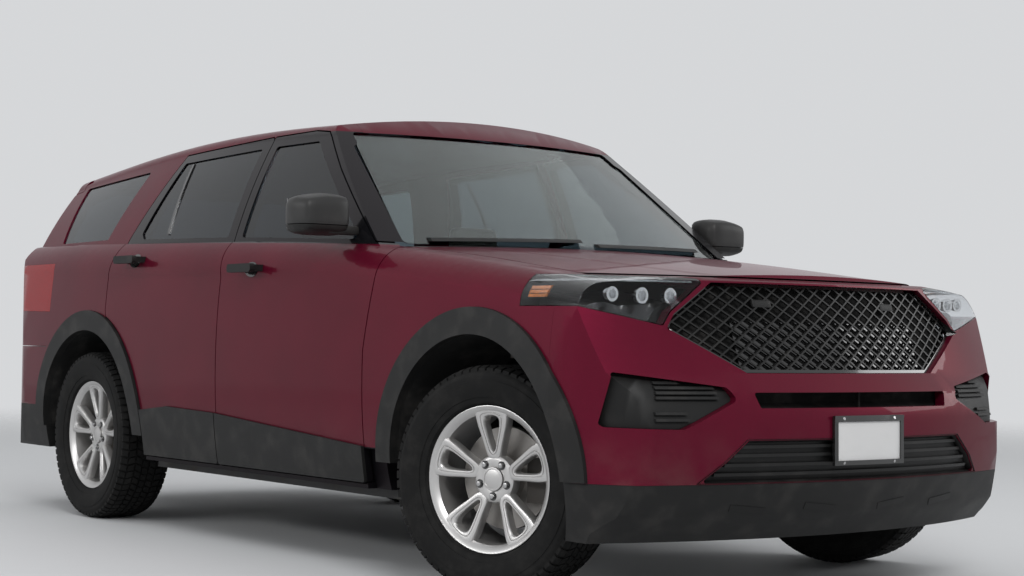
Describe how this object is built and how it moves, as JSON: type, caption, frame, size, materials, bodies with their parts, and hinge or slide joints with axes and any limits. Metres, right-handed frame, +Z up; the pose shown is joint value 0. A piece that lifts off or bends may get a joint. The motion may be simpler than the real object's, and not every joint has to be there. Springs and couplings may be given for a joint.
{
  "type": "five-door sport utility car",
  "caption": "Full-size sport utility car with opening doors, hood and liftgate, steered front wheels and a patrol-style mesh grille.",
  "frame": {"origin": "on the ground, below the middle of the overall length", "axes": "+X to the car's left, +Y to its rear, +Z up"},
  "size_m": [2.268, 5.05, 1.7699],
  "materials": {
    "grey_plastic": "dark grey, grained",
    "burgundy_paint": "deep burgundy metallic under clear coat",
    "disc_iron": "turned",
    "black_plastic": "black, grained",
    "dark_trim": "soft grain",
    "chassis_steel": "black coated",
    "engine_alloy": "cast",
    "exhaust_steel": "dull",
    "clear_glass": "lightly tinted",
    "tinted_glass": "dark tint",
    "plate_frame": "black frame with a blank plate",
    "lamp_lens": "clear over a dark housing",
    "silver_alloy": "satin silver paint",
    "seat_fabric": "woven",
    "chassis_iron": "black coated",
    "red_lens": "red lens",
    "tyre_rubber": "all-season tread"
  },
  "bodies": {
    "body": {"arch_trims": "grey_plastic", "body_side_left": "burgundy_paint", "body_side_right": "burgundy_paint", "bumper_grilles": "black_plastic", "cowl_panel": "black_plastic", "dashboard": "dark_trim", "driveshaft": "chassis_steel", "engine_block": "engine_alloy", "exhaust": "exhaust_steel", "fenders": "burgundy_paint", "fixed_glass": "clear_glass", "floor_pan": "chassis_steel", "front_bumper_cover": "burgundy_paint", "front_frame": "chassis_steel", "front_plate": "plate_frame", "front_valance": "grey_plastic", "grille": "black_plastic", "headlamps": "lamp_lens", "radiator": "chassis_steel", "rear_bumper_cover": "burgundy_paint", "rear_valance": "grey_plastic", "roof_panel": "burgundy_paint", "seats": "seat_fabric", "steering_wheel": "dark_trim", "suspension": "chassis_iron", "tail_lamps": "red_lens", "wheel_liners": "grey_plastic", "wipers": "black_plastic"},
    "front_door_right": {"door_mirror_right": "black_plastic", "front_door_glass_right": "tinted_glass", "front_door_shell_right": "burgundy_paint", "front_door_trim_right": "grey_plastic"},
    "wheel_front_right": {"brake_disc_front_right": "disc_iron", "rim_front_right": "silver_alloy", "tyre_front_right": "tyre_rubber"},
    "rear_door_right": {"rear_door_glass_right": "tinted_glass", "rear_door_shell_right": "burgundy_paint", "rear_door_trim_right": "grey_plastic"},
    "wheel_rear_right": {"brake_disc_rear_right": "disc_iron", "rim_rear_right": "silver_alloy", "tyre_rear_right": "tyre_rubber"},
    "knuckle_right": {"steering_knuckle_right": "chassis_iron"},
    "front_door_left": {"door_mirror_left": "black_plastic", "front_door_glass_left": "tinted_glass", "front_door_shell_left": "burgundy_paint", "front_door_trim_left": "grey_plastic"},
    "wheel_front_left": {"brake_disc_front_left": "disc_iron", "rim_front_left": "silver_alloy", "tyre_front_left": "tyre_rubber"},
    "rear_door_left": {"rear_door_glass_left": "tinted_glass", "rear_door_shell_left": "burgundy_paint", "rear_door_trim_left": "grey_plastic"},
    "wheel_rear_left": {"brake_disc_rear_left": "disc_iron", "rim_rear_left": "silver_alloy", "tyre_rear_left": "tyre_rubber"},
    "knuckle_left": {"steering_knuckle_left": "chassis_iron"},
    "hood": {"hood": "burgundy_paint"},
    "liftgate": {"liftgate_glass": "tinted_glass", "liftgate_shell": "burgundy_paint"}
  },
  "joints": [
    {"name": "front_door_right_swing", "type": "hinge", "parent": "body", "child": "front_door_right", "pos_m": [-1.008, -1.043, 0.75], "axis": [0, 0, 1], "range_deg": [0, 68]},
    {"name": "rear_door_right_swing", "type": "hinge", "parent": "body", "child": "rear_door_right", "pos_m": [-1.008, 0.13, 0.75], "axis": [0, 0, 1], "range_deg": [0, 68]},
    {"name": "front_door_left_swing", "type": "hinge", "parent": "body", "child": "front_door_left", "pos_m": [1.008, -1.043, 0.75], "axis": [0, 0, -1], "range_deg": [0, 68]},
    {"name": "rear_door_left_swing", "type": "hinge", "parent": "body", "child": "rear_door_left", "pos_m": [1.008, 0.13, 0.75], "axis": [0, 0, -1], "range_deg": [0, 68]},
    {"name": "hood_lift", "type": "hinge", "parent": "body", "child": "hood", "pos_m": [0, -1.005, 1.205], "axis": [-1, 0, 0], "range_deg": [0, 55]},
    {"name": "liftgate_lift", "type": "hinge", "parent": "body", "child": "liftgate", "pos_m": [0, 2.06, 1.705], "axis": [1, 0, 0], "range_deg": [0, 85]},
    {"name": "right_wheel_steer", "type": "hinge", "parent": "body", "child": "knuckle_right", "pos_m": [-0.78, -1.64, 0.381], "axis": [0, 0, 1], "range_deg": [-51, 15]},
    {"name": "wheel_front_right_spin", "type": "hinge", "parent": "knuckle_right", "child": "wheel_front_right", "pos_m": [-0.84657, -1.66163, 0.381], "axis": [0.9511, 0.309, 0], "continuous": true},
    {"name": "wheel_rear_right_spin", "type": "hinge", "parent": "body", "child": "wheel_rear_right", "pos_m": [-0.85, 1.385, 0.381], "axis": [1, 0, 0], "continuous": true},
    {"name": "left_wheel_steer", "type": "hinge", "parent": "body", "child": "knuckle_left", "pos_m": [0.78, -1.64, 0.381], "axis": [0, 0, 1], "range_deg": [-51, 15]},
    {"name": "wheel_front_left_spin", "type": "hinge", "parent": "knuckle_left", "child": "wheel_front_left", "pos_m": [0.84657, -1.61837, 0.381], "axis": [0.9511, 0.309, 0], "continuous": true},
    {"name": "wheel_rear_left_spin", "type": "hinge", "parent": "body", "child": "wheel_rear_left", "pos_m": [0.85, 1.385, 0.381], "axis": [1, 0, 0], "continuous": true}
  ],
  "couplings": [
    {"joint": "left_wheel_steer", "follows": "right_wheel_steer", "ratio": 1}
  ]
}
